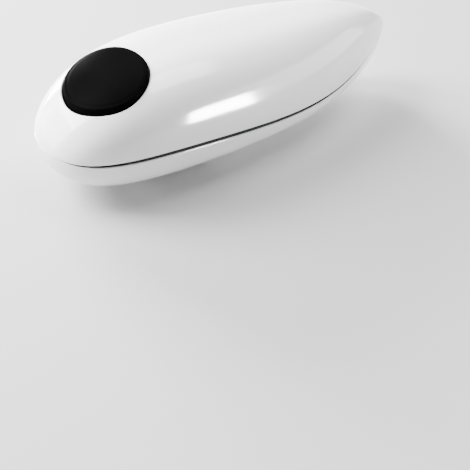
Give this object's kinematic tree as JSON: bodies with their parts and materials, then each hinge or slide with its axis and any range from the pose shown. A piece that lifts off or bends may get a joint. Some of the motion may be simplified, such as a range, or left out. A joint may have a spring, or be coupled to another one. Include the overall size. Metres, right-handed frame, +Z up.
{
  "type": "electric can opener",
  "caption": "Battery can opener with a teardrop shell, a large press button on the nose, a geared drive wheel and a swinging cutter wheel underneath.",
  "frame": {"origin": "centre of the overall box at the height of the drive wheel's lower face", "axes": "+X from the button end (nose) to the pointed tail, +Y across, +Z up"},
  "size_m": [0.196, 0.064, 0.0544],
  "materials": {
    "shell_white": "high-gloss moulded ABS",
    "button_black": "satin black moulded ABS",
    "gasket_black": "black rubber strip",
    "plate_steel": "pressed stainless sheet",
    "screw_steel": "zinc-plated steel",
    "spring_steel": "spring steel wire",
    "magnet_nickel": "nickel-plated magnet",
    "holder_black": "black nylon",
    "bronze": "sintered bronze",
    "cutter_steel": "hardened ground steel",
    "wheel_steel": "sintered hardened steel",
    "shaft_steel": "ground steel",
    "gearbox_grey": "glass-filled nylon",
    "gear_white": "natural acetal",
    "pinion_brass": "turned brass",
    "friction_rubber": "nitrile rubber",
    "copper": "enamelled copper on steel laminations",
    "motor_zinc": "zinc-plated drawn steel",
    "endcap_white": "white nylon",
    "ferrite": "dark ferrite",
    "contact_nickel": "nickel-plated spring strip",
    "switch_black": "black phenolic",
    "lever_red": "red nylon",
    "tray_white": "white moulded ABS",
    "cell_wrap": "plain dark sleeve on a steel can",
    "wire_red": "red PVC",
    "wire_blue": "blue PVC",
    "wire_black": "black PVC"
  },
  "bodies": {
    "housing": {"upper_housing": "shell_white", "lower_housing": "shell_white", "seam_gasket": "gasket_black", "button_spring": "spring_steel", "housing_screws": "screw_steel", "base_plate": "plate_steel", "plate_screws": "screw_steel", "guide_pins": "shaft_steel", "magnet_holder": "holder_black", "magnet": "magnet_nickel", "magnet_screws": "screw_steel", "drive_bush": "bronze", "carrier_bush": "bronze", "gearbox_base": "gearbox_grey", "gearbox_top": "gearbox_grey", "gearbox_screws": "screw_steel", "gear_axles": "shaft_steel", "motor_can": "motor_zinc", "motor_endcap": "endcap_white", "motor_magnets": "ferrite", "motor_terminals": "contact_nickel", "motor_strap": "plate_steel", "strap_screws": "screw_steel", "switch_body": "switch_black", "lever_pin": "shaft_steel", "switch_terminals": "contact_nickel", "switch_screws": "screw_steel", "battery_tray": "tray_white", "tray_screw": "screw_steel", "battery_left": "cell_wrap", "battery_right": "cell_wrap", "contact_positive": "contact_nickel", "contact_negative": "contact_nickel", "contact_bridge": "contact_nickel", "wire_feed": "wire_red", "wire_link": "wire_blue", "wire_return": "wire_black"},
    "button": {"button_cap": "button_black", "button_clip": "spring_steel"},
    "switch_lever": {"switch_lever": "lever_red"},
    "drive": {"drive_shaft": "shaft_steel", "drive_wheel": "wheel_steel", "wheel_screw": "screw_steel", "main_gear": "gear_white", "friction_ring": "friction_rubber"},
    "second_gear": {"second_gear": "gear_white"},
    "first_gear": {"first_gear": "gear_white"},
    "rotor": {"motor_shaft": "shaft_steel", "motor_pinion": "pinion_brass", "motor_armature": "copper"},
    "carrier": {"cutter_carrier": "plate_steel", "cutter_screw": "screw_steel"},
    "cutter": {"cutter_wheel": "cutter_steel"},
    "door": {"battery_door": "shell_white"}
  },
  "joints": [
    {"name": "button_press", "type": "slide", "parent": "housing", "child": "button", "axis": [0, 0, -1], "range_m": [0, 0.0025], "stiffness_N_per_m": 400, "springref_m": -0.003, "deforming": ["button_spring"]},
    {"name": "lever_tilt", "type": "hinge", "parent": "housing", "child": "switch_lever", "pos_m": [-0.0798, 0, 0.0282], "axis": [0, 1, 0], "range_deg": [0, 22.6]},
    {"name": "drive_spin", "type": "hinge", "parent": "housing", "child": "drive", "pos_m": [-0.048, 0, 0.01], "axis": [0, 0, 1], "continuous": true},
    {"name": "second_spin", "type": "hinge", "parent": "housing", "child": "second_gear", "pos_m": [-0.03109, 0.00616, 0.018], "axis": [0, 0, 1], "continuous": true},
    {"name": "first_spin", "type": "hinge", "parent": "housing", "child": "first_gear", "pos_m": [-0.02074, -0.00618, 0.018], "axis": [0, 0, 1], "continuous": true},
    {"name": "rotor_spin", "type": "hinge", "parent": "housing", "child": "rotor", "pos_m": [-0.00925, 0.00346, 0.02], "axis": [0, 0, 1], "continuous": true},
    {"name": "carrier_swing", "type": "hinge", "parent": "housing", "child": "carrier", "pos_m": [-0.066, 0, 0.01], "axis": [0, 0, 1], "range_deg": [0, 150]},
    {"name": "cutter_spin", "type": "hinge", "parent": "carrier", "child": "cutter", "pos_m": [-0.06875, 0, 0.004], "axis": [0, 0, 1], "continuous": true},
    {"name": "door_lift", "type": "slide", "parent": "housing", "child": "door", "axis": [0, 0, -1], "range_m": [0, 0.015]}
  ],
  "couplings": [
    {"joint": "lever_tilt", "follows": "button_press", "rad_per_m": 157},
    {"joint": "second_spin", "follows": "drive_spin", "ratio": -3},
    {"joint": "first_spin", "follows": "drive_spin", "ratio": 10.8},
    {"joint": "rotor_spin", "follows": "drive_spin", "ratio": -54}
  ]
}
